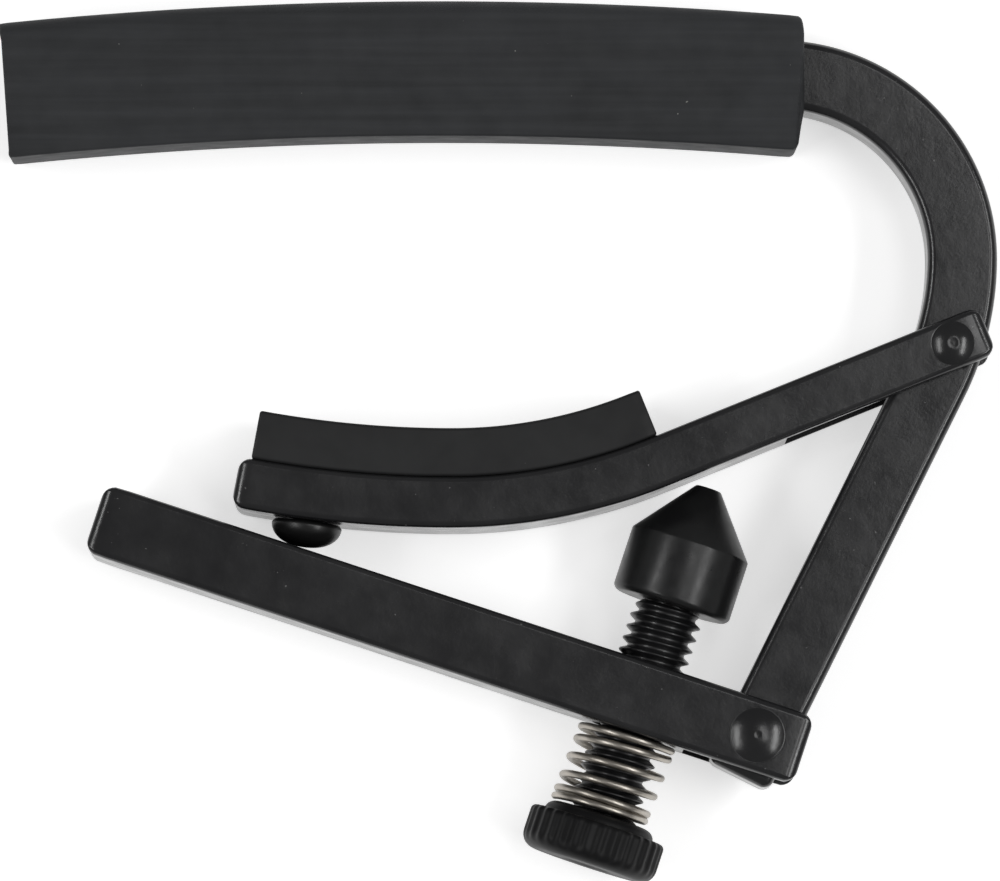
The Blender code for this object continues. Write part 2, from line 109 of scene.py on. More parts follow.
# Clamp arm, pad and bumper.
ARM_HEIGHT = 4.2 * MM
ARM_LEAN = math.radians(22.0)
ARM_OVERRUN = 3.1 * MM
ARM_CORNER = 1.1 * MM
ARM_STRAIGHT = 26.2 * MM
ARM_NEAR_RADIUS = 44.9 * MM
ARM_FAR_RADIUS = 93.0 * MM
ARM_FAR_TURN = math.radians(11.0)
ARM_FORK = 15.5 * MM
PAD_THICKNESS = 4.0 * MM
PAD_DEPTH = 8.2 * MM
PAD_START = 25.3 * MM
PAD_END_GAP = 0.9 * MM
RIB_DEPTH = 6.2 * MM
RIB_HEIGHT = 1.6 * MM
BUMPER_TURN = math.radians(7.2)
BUMPER_RADIUS = 2.9 * MM
BUMPER_HEIGHT = 2.1 * MM

# Lever.
LEVER_HEIGHT = 5.9 * MM
LEVER_LENGTH = 57.2 * MM
LEVER_OVERRUN = 4.0 * MM
LEVER_FORK = 5.4 * MM
LEVER_CORNER = 1.15 * MM
BRIDGE_LENGTH = 9.0 * MM
SCREW_STATION = 10.1 * MM

# Rivets.
RIVET_RADIUS = 1.5 * MM
ARM_RIVET_HEAD = 1.8 * MM
LEVER_RIVET_HEAD = 2.3 * MM
RIVET_DOME = 0.6 * MM

# Screw, cap, knob and spring: heights are measured along the screw from the lever's middle.
THREAD_RADIUS = 2.95 * MM
THREAD_ROOT = 2.38 * MM
THREAD_PITCH = 1.0 * MM
THREAD_SIDES = 48
SPIGOT_RADIUS = 2.0 * MM
SPIGOT_LENGTH = 2.5 * MM
CAP_BASE = 8.05 * MM
CAP_RADIUS = 5.0 * MM
CAP_BARREL = 5.35 * MM
CAP_CONE = 4.9 * MM
CAP_FLAT = 1.05 * MM
CAP_CHAMFER = 0.35 * MM
KNOB_RADIUS = 5.75 * MM
KNOB_TOP = -10.85 * MM
KNOB_HEIGHT = 3.5 * MM
KNOB_ROUND = 1.3 * MM
KNOB_SHOULDER = 0.8 * MM
KNOB_SEAT = 4.2 * MM
FLUTES = 32
FLUTE_CUT = 0.16 * MM
WIRE_RADIUS = 0.31 * MM
SPRING_RADIUS = 3.84 * MM
SPRING_TURNS = 5.5
SEATED_TURNS = 1.5
SPRING_TILT = 0.13 * MM
SPRING_LEAN = 0.35 * MM

GAP = 0.1 * MM


# ---------------------------------------------------------------- meshes

def rides(obj, body, node):
    """A finished piece stands for its node and moves with its body."""
    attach(obj, body)
    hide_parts(node)


def new_object(name, mesh, matrix=None, smooth_angle=40):
    if matrix is not None:
        mesh.transform(matrix)
    mesh.shade_smooth()
    mesh.set_sharp_from_angle(angle=math.radians(smooth_angle))
    obj = bpy.data.objects.new(name, mesh)
    bpy.context.scene.collection.objects.link(obj)
    return obj


def loft_mesh(name, rings, closed=False):
    """A skin through rings of points, capped at both ends or closed on itself, with UVs along and round it."""
    cage = bmesh.new()
    uv = cage.loops.layers.uv.new("around")
    loops = [[cage.verts.new(point) for point in ring] for ring in rings]
    count = len(rings[0])
    last = len(rings) if closed else len(rings) - 1
    length = 0.0
    for i in range(last):
        here, there = loops[i], loops[(i + 1) % len(rings)]
        step = (Vector(rings[(i + 1) % len(rings)][0]) - Vector(rings[i][0])).length
        for k in range(count):
            n = (k + 1) % count
            face = cage.faces.new((here[k], there[k], there[n], here[n]))
            spots = ((length, k), (length + step, k), (length + step, k + 1), (length, k + 1))
            for loop, (along, round_part) in zip(face.loops, spots):
                loop[uv].uv = (along / MM, round_part / count)
        length += step
    if not closed:
        cage.faces.new(loops[0])
        cage.faces.new(loops[-1][::-1])
    bmesh.ops.recalc_face_normals(cage, faces=cage.faces)
    mesh = bpy.data.meshes.new(name)
    cage.to_mesh(mesh)
    cage.free()
    return mesh


def turned_mesh(name, profile, sides=96):
    """A profile of (radius, height) points turned about Z. Points on the axis close the shape."""
    cage = bmesh.new()
    rows = []
    for radius, height in profile:
        if radius < 1e-7:
            rows.append([cage.verts.new((0, 0, height))])
        else:
            rows.append([
                cage.verts.new((
                    radius * math.cos(math.tau * k / sides),
                    radius * math.sin(math.tau * k / sides),
                    height,
                ))
                for k in range(sides)
            ])
    for upper, lower in zip(rows, rows[1:]):
        for k in range(sides):
            n = (k + 1) % sides
            corners = [upper[k % len(upper)], lower[k % len(lower)]]
            corners += [lower[n % len(lower)], upper[n % len(upper)]]
            cage.faces.new(list(dict.fromkeys(corners)))
    bmesh.ops.recalc_face_normals(cage, faces=cage.faces)
    mesh = bpy.data.meshes.new(name)
    cage.to_mesh(mesh)
    cage.free()
    return mesh


def extended(path, length, turn=0.0, spacing=0.6 * MM):
    """A path of (x, y, heading) points, longer by a straight run or by an arc that turns left."""
    x, y, heading = path[-1]
    steps = max(1, math.ceil(length / spacing))
    more = []
    for i in range(1, steps + 1):
        angle = heading + turn * i / steps
        if turn:
            radius = length / turn
            reach = radius * (math.sin(angle) - math.sin(heading))
            rise = radius * (math.cos(heading) - math.cos(angle))
        else:
            reach = length * math.cos(heading) * i / steps
            rise = length * math.sin(heading) * i / steps
        more.append((x + reach, y + rise, angle))
    return path + more


def lengths(path):
    """The distance along a path at each of its points."""
    total = [0.0]
    for (x0, y0, _), (x1, y1, _) in zip(path, path[1:]):
        total.append(total[-1] + math.hypot(x1 - x0, y1 - y0))
    return total


def at(path, marks, distance):
    """The point (x, y, heading) at a distance along a path, which runs straight on past its ends."""
    if distance <= 0:
        x, y, h = path[0]
        return (x + distance * math.cos(h), y + distance * math.sin(h), h)
    if distance >= marks[-1]:
        x, y, h = path[-1]
        over = distance - marks[-1]
        return (x + over * math.cos(h), y + over * math.sin(h), h)
    k = next(i for i, mark in enumerate(marks) if mark >= distance)
    share = (distance - marks[k - 1]) / (marks[k] - marks[k - 1])
    (x0, y0, h0), (x1, y1, h1) = path[k - 1], path[k]
    return (x0 + (x1 - x0) * share, y0 + (y1 - y0) * share, h0 + (h1 - h0) * share)


def placed(spot, u, w):
    """A point at an offset u to the path's left and w up."""
    x, y, h = spot
    return (x - u * math.sin(h), y + u * math.cos(h), w)


def section(low, high, half_depth, radii, steps=6):
    """A rounded rectangle of (u, w) points. The radii are for the corners at its low and its high side."""
    points = []
    corners = (
        (high, half_depth, radii[1], 0),
        (low, half_depth, radii[0], 90),
        (low, -half_depth, radii[0], 180),
        (high, -half_depth, radii[1], 270),
    )
    for u, w, radius, start in corners:
        centre_u = u - math.copysign(radius, u - (low + high) / 2)
        centre_w = w - math.copysign(radius, w)
        for i in range(steps + 1):
            angle = math.radians(start + 90 * i / steps)
            points.append((centre_u + radius * math.cos(angle), centre_w + radius * math.sin(angle)))
    return points


def bar_rings(path, low, high, half_depth, edge, corner, end_steps=6):
    """Rings along a path for a bar with rounded edges and rounded ends."""
    marks = lengths(path)
    total = marks[-1]
    rings = []

    def ring(distance, inset_u, inset_w):
        radius = max(edge - max(inset_u, inset_w), 0.15 * edge)
        spot = at(path, marks, distance)
        outline = section(low + inset_u, high - inset_u, half_depth - inset_w, (radius, radius))
        rings.append([placed(spot, u, w) for u, w in outline])

    for i in range(end_steps, 0, -1):
        angle = math.pi / 2 * i / end_steps
        ring(corner * (1 - math.sin(angle)), corner * (1 - math.cos(angle)), edge * (1 - math.cos(angle)))
    for mark in marks:
        if corner <= mark <= total - corner:
            ring(mark, 0, 0)
    for i in range(1, end_steps + 1):
        angle = math.pi / 2 * i / end_steps
        fall = 1 - math.cos(angle)
        ring(total - corner * (1 - math.sin(angle)), corner * fall, edge * fall)
    return rings


def prism(name, path, low, high, half_depth, matrix):
    """A sharp-edged cutter along a path."""
    outline = [(high, half_depth), (low, half_depth), (low, -half_depth), (high, -half_depth)]
    rings = [[placed(spot, u, w) for u, w in outline] for spot in path]
    mesh = loft_mesh(name, rings)
    return new_object(name, mesh, matrix)


def cut(obj, cutters, edge=CUT_EDGE):
    """Cuts an object and breaks the cut edges. The cutters are removed."""
    for cutter in cutters:
        boolean = obj.modifiers.new(cutter.name, "BOOLEAN")
        boolean.operation = "DIFFERENCE"
        boolean.object = cutter
    bevel = obj.modifiers.new("edges", "BEVEL")
    bevel.width = edge
    bevel.segments = 2
    bevel.limit_method = "ANGLE"
    bevel.angle_limit = math.radians(50)
    bake(obj)
    for cutter in cutters:
        bpy.data.objects.remove(cutter)
    settle(obj)


def bake(obj, smooth_angle=40):
    """Replaces an object's mesh by what its modifiers make of it."""
    graph = bpy.context.evaluated_depsgraph_get()
    mesh = bpy.data.meshes.new_from_object(obj.evaluated_get(graph))
    obj.modifiers.clear()
    obj.data = mesh
    mesh.shade_smooth()
    mesh.set_sharp_from_angle(angle=math.radians(smooth_angle))


def settle(obj):
    """Gives large flat faces straight normals, so that only the rounded edges between them turn the light."""
    weighted = obj.modifiers.new("normals", "WEIGHTED_NORMAL")
    weighted.keep_sharp = True
    weighted.weight = 90
    graph = bpy.context.evaluated_depsgraph_get()
    mesh = bpy.data.meshes.new_from_object(obj.evaluated_get(graph))
    obj.modifiers.clear()
    obj.data = mesh


# ---------------------------------------------------------------- places

def plane_matrix(place, turn=0.0):
    return Matrix.Translation(place) @ Matrix.Rotation(turn, 4, "Z")


LEVER_TURN = math.atan2(-SCREW_WAY.x, SCREW_WAY.y)
FRAME_MATRIX = plane_matrix(LEVER_PIVOT)
LEVER_MATRIX = plane_matrix(LEVER_PIVOT, LEVER_TURN)
ARM_MATRIX = plane_matrix(ARM_PIVOT, ARM_LEAN)
SCREW_MATRIX = plane_matrix(SCREW_PLACE, LEVER_TURN) @ Matrix.Rotation(math.radians(-90), 4, "X")
LEG_WAY = (ARM_PIVOT - LEVER_PIVOT).normalized()
LEG_LEAN = math.atan2(LEG_WAY.x, LEG_WAY.y)


def leg_path():
    """The frame's centre line from below the lever's pivot up to the start of the fret arc."""
    start = [(-LEG_OVERRUN * LEG_WAY.x, -LEG_OVERRUN * LEG_WAY.y, math.pi / 2 - LEG_LEAN)]
    leg = extended(start, LEG_OVERRUN + LEG_STRAIGHT, spacing=2 * MM)
    eased = extended(leg, EASE_RADIUS * LEG_LEAN, LEG_LEAN)
    bend_turn = math.pi / 2 - FRET_DROP
    return extended(eased, BEND_RADIUS * bend_turn, bend_turn, spacing=0.4 * MM)


def fret_path(before, reach):
    x, y, heading = leg_path()[-1]
    start = [(x - before * math.cos(heading), y - before * math.sin(heading), heading)]
    turn = FRET_DROP + reach
    return extended(extended(start, before), FRET_RADIUS * turn, turn, spacing=0.8 * MM)


def arm_path(overrun=0.0):
    """The arm's centre line in its own frame, from its free end to a distance past its pivot."""
    far = [(0.0, 0.0, -ARM_FAR_TURN)]
    far = extended(far, ARM_FAR_RADIUS * ARM_FAR_TURN, ARM_FAR_TURN)
    near = extended(far, ARM_NEAR_RADIUS * ARM_LEAN, ARM_LEAN)
    whole = extended(near, ARM_STRAIGHT, spacing=1 * MM)
    x, y, heading = whole[-1]
    if overrun:
        whole = extended(whole, overrun)
    return [
        (
            (px - x) * math.cos(heading) + (py - y) * math.sin(heading),
            (py - y) * math.cos(heading) - (px - x) * math.sin(heading),
            h - heading,
        )
        for px, py, h in whole
    ]


def stretch(path, start, end):
    """The part of a path between two distances from its start."""
    marks = lengths(path)
    inner = [spot for spot, mark in zip(path, marks) if start < mark < end]
    return [at(path, marks, start)] + inner + [at(path, marks, end)]


# ---------------------------------------------------------------- pieces

def make_frame_bar():
    turn = FRET_DROP + FRET_REACH
    path = extended(leg_path(), FRET_RADIUS * turn, turn, spacing=1.5 * MM)
    rings = bar_rings(path, -BAR_WIDTH / 2, BAR_WIDTH / 2, BAR_DEPTH / 2, BAR_EDGE, BAR_CORNER)
    bar = new_object("frame_bar", loft_mesh("frame_bar", rings), FRAME_MATRIX)
    holes = []
    for place in (LEVER_PIVOT, ARM_PIVOT):
        hole = turned_mesh("hole", rod_profile(RIVET_RADIUS + GAP, BAR_DEPTH), 64)
        holes.append(new_object("hole", hole, Matrix.Translation(place)))
    cut(bar, holes)
    rides(bar, "frame_body", "frame")
    return bar


def rod_profile(radius, half_length):
    return [(0, half_length), (radius, half_length), (radius, -half_length), (0, -half_length)]


def make_sleeve():
    """The rubber tube: its outer skin, a lip at each end, and the opening that the bar fills."""
    path = fret_path(SLEEVE_OVERLAP, SLEEVE_REACH)
    marks = lengths(path)
    total = marks[-1]
    low = -BAR_WIDTH / 2 - SLEEVE_TOP_WALL
    high = BAR_WIDTH / 2 + SLEEVE_STRING_WALL
    outer = section(low, high, SLEEVE_DEPTH / 2, (SLEEVE_TOP_ROUND, SLEEVE_EDGE), 8)
    inner_half = BAR_WIDTH / 2 + 0.02 * MM
    inner = section(-inner_half, inner_half, BAR_DEPTH / 2 + 0.02 * MM, (0.6 * MM, 0.6 * MM), 8)

    def warped(distance, u):
        """The slack of the cut ends: a hollow at the free end and a bulge at the bend."""
        share = min(max((u - low) / (high - low), 0), 1)
        from_free = max(0.0, 1 - (total - distance) / (6 * MM)) ** 2
        hollow = SLEEVE_HOLLOW * math.sin(math.pi * share) * from_free
        flare = SLEEVE_FLARE * share ** 5 * from_free
        from_bend = max(0.0, 1 - distance / (5 * MM)) ** 2
        bulge = SLEEVE_BULGE * min((share / 0.85) ** 0.5, 1 - 0.55 * (share - 0.85) / 0.15) * from_bend
        return distance - hollow + flare - bulge

    def ring(distance, outline):
        spots = []
        for u, w in outline:
            near = max(0.0, (u - 0.5 * high) / (0.5 * high)) * w / (SLEEVE_DEPTH / 2)
            spots.append(placed(at(path, marks, warped(distance, u)), u + SLEEVE_SKEW * near, w))
        return spots

    def pulled(outline, amount):
        mid = (low + high) / 2
        half_u = (high - low) / 2
        half_w = SLEEVE_DEPTH / 2
        return [(mid + (u - mid) * (1 - amount / half_u), w * (1 - amount / half_w)) for u, w in outline]

    rings = []
    for i in range(4, 0, -1):
        angle = math.pi / 2 * i / 4
        amount = SLEEVE_LIP * (1 - math.cos(angle))
        rings.append(ring(SLEEVE_LIP * (1 - math.sin(angle)), pulled(outer, amount)))
    inside = [mark for mark in marks if SLEEVE_LIP < mark < total - SLEEVE_LIP]
    rings += [ring(mark, outer) for mark in inside]
    for i in range(1, 5):
        angle = math.pi / 2 * i / 4
        amount = SLEEVE_LIP * (1 - math.cos(angle))
        rings.append(ring(total - SLEEVE_LIP * (1 - math.sin(angle)), pulled(outer, amount)))
    rings.append(ring(total, inner))
    rings += [ring(mark, inner) for mark in inside[::-1]]
    rings.append(ring(0.0, inner))
    sleeve = new_object("rubber_sleeve", loft_mesh("rubber_sleeve", rings, closed=True), FRAME_MATRIX)
    rides(sleeve, "frame_body", "fret_sleeve")
    return sleeve


def make_rivet(name, node, place, head, dimple, dimple_depth):
    """A domed rivet head on each side and the pin between them."""
    seat = CHANNEL_DEPTH / 2 + 0.02 * MM
    ball = (head ** 2 + RIVET_DOME ** 2) / (2 * RIVET_DOME)
    span = math.asin(head / ball)
    crown = []
    for i in range(33):
        angle = span * i / 32
        radius = ball * math.sin(angle)
        sink = dimple_depth * math.exp(-(radius / dimple) ** 4)
        crown.append((radius, seat + RIVET_DOME - ball + ball * math.cos(angle) - sink))
    rim = [(head - 0.02 * MM, seat + 0.01 * MM), (head - 0.1 * MM, seat)]
    upper = crown[:-1] + [(head, seat + 0.05 * MM)] + rim + [(RIVET_RADIUS, seat)]
    lower = [(r, -z) for r, z in upper[::-1]]
    rivet = new_object(name, turned_mesh(name, upper + lower, 72), Matrix.Translation(place))
    rides(rivet, "frame_body", node)
    return rivet


def make_arm():
    half = ARM_HEIGHT / 2
    path = arm_path(ARM_OVERRUN)
    rings = bar_rings(path, -half, half, CHANNEL_DEPTH / 2, CHANNEL_EDGE, ARM_CORNER)
    arm = new_object("clamp_arm", loft_mesh("clamp_arm", rings), ARM_MATRIX)
    total = lengths(path)[-1]
    groove = stretch(path, END_WALL, total + ARM_OVERRUN)
    slot = prism("arm_groove", groove, WEB - half, 2 * half, SLOT_DEPTH / 2, ARM_MATRIX)
    fork_path = [(-ARM_FORK, 0, 0), (2 * ARM_OVERRUN, 0, 0)]
    fork = prism("arm_fork", fork_path, -2 * half, 2 * half, SLOT_DEPTH / 2, ARM_MATRIX)
    hole_profile = rod_profile(RIVET_RADIUS + GAP, CHANNEL_DEPTH)
    hole = new_object("arm_hole", turned_mesh("hole", hole_profile, 64), ARM_MATRIX)
    seat = new_object("seat_hole", turned_mesh("hole", rod_profile(1.4 * MM, 2 * WEB), 48), bumper_matrix())
    cut(arm, [slot, fork, hole, seat])
    rides(arm, "arm_body", "neck_arm")
    return arm


def make_pad():
    """The neck pad and the rib under it that sits in the arm's slot."""
    path = arm_path()
    total = lengths(path)[-1]
    top = ARM_HEIGHT / 2 + 0.02 * MM
    strip = stretch(path, PAD_END_GAP, total - PAD_START)
    rings = bar_rings(strip, top, top + PAD_THICKNESS, PAD_DEPTH / 2, 0.3 * MM, 0.22 * MM, 4)
    pad = new_object("clamp_pad", loft_mesh("clamp_pad", rings), ARM_MATRIX)
    rib_path = stretch(path, 2 * END_WALL, total - PAD_START - END_WALL)
    rib = prism("rib", rib_path, top - RIB_HEIGHT, top + 0.8 * MM, RIB_DEPTH / 2, ARM_MATRIX)
    union = pad.modifiers.new("rib", "BOOLEAN")
    union.operation = "UNION"
    union.object = rib
    bake(pad)
    bpy.data.objects.remove(rib)
    rides(pad, "arm_body", "neck_pad")
    return pad


def bumper_matrix():
    """The bumper's seat: Z points up through the arm's web from its underside."""
    turn = BUMPER_TURN + ARM_LEAN
    centre = Vector((-ARM_STRAIGHT, ARM_NEAR_RADIUS))
    centre += (ARM_FAR_RADIUS - ARM_NEAR_RADIUS) * Vector((math.sin(ARM_LEAN), math.cos(ARM_LEAN)))
    place = centre - (ARM_FAR_RADIUS + ARM_HEIGHT / 2) * Vector((math.sin(turn), math.cos(turn)))
    return ARM_MATRIX @ plane_matrix(place.to_3d(), -turn) @ Matrix.Rotation(math.radians(-90), 4, "X")


def make_bumper():
    """A rubber mushroom: bulb inside the arm, neck through the web, domed head below."""
    floor = WEB + GAP
    profile = [(0, floor + 0.9 * MM)]
    profile += [
        (0.6 * MM + 1.3 * MM * math.sin(a), floor + 0.45 * MM + 0.45 * MM * math.cos(a))
        for a in (math.pi * i / 12 for i in range(13))
    ]
    profile += [(1.3 * MM, floor), (1.3 * MM, -0.05 * MM), (BUMPER_RADIUS - 0.2 * MM, -0.05 * MM)]
    widest = 0.3 * MM
    for i in range(17):
        angle = math.pi / 2 * i / 16
        radius = BUMPER_RADIUS * math.cos(angle) ** 0.85
        profile.append((radius, -widest - (BUMPER_HEIGHT - widest) * math.sin(angle)))
    profile[-1] = (0, -BUMPER_HEIGHT)
    bumper = new_object("rubber_bumper", turned_mesh("rubber_bumper", profile, 64), bumper_matrix(), 70)
    rides(bumper, "arm_body", "arm_bumper")
    return bumper


def make_lever():
    half = LEVER_HEIGHT / 2
    path = extended([(-LEVER_LENGTH, 0.0, 0.0)], LEVER_LENGTH + LEVER_OVERRUN, spacing=1 * MM)
    rings = bar_rings(path, -half, half, CHANNEL_DEPTH / 2, CHANNEL_EDGE, LEVER_CORNER)
    lever = new_object("clamp_lever", loft_mesh("clamp_lever", rings), LEVER_MATRIX)
    right = -SCREW_STATION - BRIDGE_LENGTH / 2
    groove_path = [(END_WALL - LEVER_LENGTH, 0, 0), (right, 0, 0)]
    groove = prism("lever_groove", groove_path, WEB - half, 2 * half, SLOT_DEPTH / 2, LEVER_MATRIX)
    fork_path = [(-LEVER_FORK, 0, 0), (2 * LEVER_OVERRUN, 0, 0)]
    fork = prism("lever_fork", fork_path, -2 * half, 2 * half, SLOT_DEPTH / 2, LEVER_MATRIX)
    hole_profile = rod_profile(RIVET_RADIUS + GAP, CHANNEL_DEPTH)
    hole = new_object("lever_hole", turned_mesh("hole", hole_profile, 64), LEVER_MATRIX)
    bore_profile = rod_profile(THREAD_RADIUS + 0.2 * MM, LEVER_HEIGHT)
    bore = new_object("screw_bore", turned_mesh("bore", bore_profile, 64), SCREW_MATRIX)
    cut(lever, [groove, fork, hole, bore])
    rides(lever, "lever_body", "lever")
    return lever


def thread_radius(height, angle):
    """A 60-degree thread with a narrow flat crest and a wider flat root."""
    phase = (height / THREAD_PITCH - angle / math.tau) % 1.0
    slope = abs(2 * phase - 1)
    share = min(max((slope - 0.22) / 0.64, 0), 1)
    return THREAD_ROOT + (THREAD_RADIUS - THREAD_ROOT) * share


def make_screw():
    top = CAP_BASE - GAP
    bottom = KNOB_TOP + KNOB_SHOULDER + GAP
    rows_per_pitch = 14
    count = round((top - bottom) / (THREAD_PITCH / rows_per_pitch))
    angles = [math.tau * i / THREAD_SIDES for i in range(THREAD_SIDES)]

    def plain(height, radius=SPIGOT_RADIUS):
        return [(radius * math.cos(a), radius * math.sin(a), height) for a in angles]

    rings = [plain(top + SPIGOT_LENGTH), plain(top + 0.02 * MM)]
    for i in range(count + 1):
        height = top + (bottom - top) * i / count
        run_out = min(1.0, 0.25 + (top - height) / THREAD_PITCH)
        ring = []
        for a in angles:
            radius = THREAD_ROOT + (thread_radius(height, a) - THREAD_ROOT) * run_out
            ring.append((radius * math.cos(a), radius * math.sin(a), height))
        rings.append(ring)
    rings += [plain(bottom - 0.02 * MM), plain(bottom - SPIGOT_LENGTH)]
    mesh = loft_mesh("threaded_rod", rings)
    screw = new_object("threaded_rod", mesh, SCREW_MATRIX, 75)
    rides(screw, "screw_body", "adjusting_screw")
    return screw


def eased_corner(before, corner, after, radius, steps=4):
    """Points that round a profile's corner."""
    a, b, c = Vector(before), Vector(corner), Vector(after)
    first = b + (a - b).normalized() * radius
    last = b + (c - b).normalized() * radius
    points = []
    for i in range(steps + 1):
        t = i / steps
        points.append(tuple((1 - t) ** 2 * first + 2 * t * (1 - t) * b + t ** 2 * last))
    return points


def eased_profile(corners, radii):
    """A profile whose corners are rounded by the given radii; the first and last points stay."""
    points = [corners[0]]
    for before, corner, after, radius in zip(corners, corners[1:], corners[2:], radii):
        points += eased_corner(before, corner, after, radius) if radius else [corner]
    return points + [corners[-1]]


def make_cap():
    tip = CAP_BASE + CAP_BARREL + CAP_CONE
    bore = SPIGOT_RADIUS + 0.03 * MM
    floor = CAP_BASE + SPIGOT_LENGTH + GAP
    corners = [
        (0, tip),
        (CAP_FLAT, tip),
        (CAP_RADIUS, CAP_BASE + CAP_BARREL),
        (CAP_RADIUS, CAP_BASE + CAP_CHAMFER),
        (CAP_RADIUS - CAP_CHAMFER, CAP_BASE),
        (bore, CAP_BASE),
        (bore, floor),
        (0, floor),
    ]
    profile = eased_profile(corners, (0.12 * MM, 0.1 * MM, 0.2 * MM, 0.2 * MM, 0.1 * MM, 0))
    cap = new_object("cone_cap", turned_mesh("cone_cap", profile, 128), SCREW_MATRIX, 30)
    rides(cap, "cap_body", "tip_cap")
    return cap


def make_knob():
    """A knurled knob: soft flutes round its band, fading into the lower rim and the domed shoulder."""
    shoulder = KNOB_TOP + KNOB_SHOULDER
    bottom = KNOB_TOP - KNOB_HEIGHT
    floor = shoulder - SPIGOT_LENGTH - GAP
    bore = SPIGOT_RADIUS + 0.03 * MM
    profile = [(0, floor), (bore, floor), (bore, shoulder), (KNOB_SEAT - 0.5 * MM, shoulder)]
    for i in range(9):
        angle = math.pi / 2 * i / 8
        radius = KNOB_SEAT - 0.5 * MM + 0.95 * MM * math.sin(angle)
        profile.append((radius, KNOB_TOP + KNOB_SHOULDER * math.cos(angle)))
    inner = KNOB_RADIUS - 0.45 * MM
    for i in range(1, 6):
        angle = math.pi / 2 * i / 5
        profile.append((inner + 0.45 * MM * math.sin(angle), KNOB_TOP - 0.45 * MM * (1 - math.cos(angle))))
    side_top = KNOB_TOP - 0.45 * MM
    side_bottom = bottom + KNOB_ROUND
    for i in range(1, 9):
        profile.append((KNOB_RADIUS, side_top + (side_bottom - side_top) * i / 8))
    for i in range(1, 13):
        angle = math.pi / 2 * i / 12
        radius = KNOB_RADIUS - KNOB_ROUND * (1 - math.cos(angle))
        profile.append((radius, side_bottom - KNOB_ROUND * math.sin(angle)))
    profile += [(2.2 * MM, bottom), (1.9 * MM, bottom + 0.12 * MM), (0, bottom + 0.12 * MM)]
    sides = FLUTES * 12
    mesh = turned_mesh("knurled_knob", profile, sides)
    reach = inner - 0.1 * MM
    for vertex in mesh.vertices:
        radius = math.hypot(vertex.co.x, vertex.co.y)
        if radius < reach:
            continue
        fade_top = min(1.0, max(0.0, (KNOB_TOP - vertex.co.z) / (0.3 * MM) + 0.35))
        fade_bottom = min(1.0, max(0.0, (vertex.co.z - (bottom + 0.45 * MM)) / (0.9 * MM)))
        wave = 0.5 - 0.5 * math.cos(FLUTES * math.atan2(vertex.co.y, vertex.co.x))
        depth = FLUTE_CUT * (1 - wave) * fade_top * fade_bottom
        vertex.co.x *= 1 - depth / radius
        vertex.co.y *= 1 - depth / radius
    knob = new_object("knurled_knob", mesh, SCREW_MATRIX, 50)
    rides(knob, "screw_body", "thumb_knob")
    return knob


def make_spring():
    """A compression coil with closed ends."""
    top = -LEVER_HEIGHT / 2 - WIRE_RADIUS - 0.03 * MM
    bottom = KNOB_TOP + KNOB_SHOULDER + WIRE_RADIUS + 0.03 * MM
    closed_rise = 2.1 * WIRE_RADIUS
    per_turn = 48
    count = round(SPRING_TURNS * per_turn)
    sides = 16
    open_turns = SPRING_TURNS - SEATED_TURNS - 1
    open_rise = top - bottom - (SEATED_TURNS + 1) * closed_rise
    rings = []
    centres = []
    for i in range(count + 1):
        turns = i / per_turn
        open_share = min(max((turns - SEATED_TURNS) / open_turns, 0), 1)
        closed_turns = min(turns, SEATED_TURNS) + max(turns - SPRING_TURNS + 1, 0)
        angle = math.tau * (turns + 0.5)
        tilt = SPRING_TILT * math.sin(math.pi * turns / SPRING_TURNS)
        height = bottom + closed_rise * closed_turns + open_rise * open_share - tilt * math.cos(angle)
        aside = -SPRING_LEAN * (top - height) / (top - bottom)
        across = SPRING_RADIUS * math.cos(angle)
        centres.append(Vector((aside + across, SPRING_RADIUS * math.sin(angle), height)))
    for i, centre in enumerate(centres):
        ahead = centres[min(i + 1, count)] - centres[max(i - 1, 0)]
        ahead.normalize()
        out = Vector((math.cos(math.tau * i / per_turn), math.sin(math.tau * i / per_turn), 0))
        side = ahead.cross(out).normalized()
        out = side.cross(ahead).normalized()
        shrink = 0.8 if i in (0, count) else 1.0
        rings.append([
            centre + shrink * WIRE_RADIUS * (math.cos(a) * out + math.sin(a) * side)
            for a in (math.tau * k / sides for k in range(sides))
        ])
    spring = new_object("coil_spring", loft_mesh("coil_spring", rings), SCREW_MATRIX)
    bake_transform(spring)
    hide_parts("screw_spring")
    return spring


# ---------------------------------------------------------------- materials

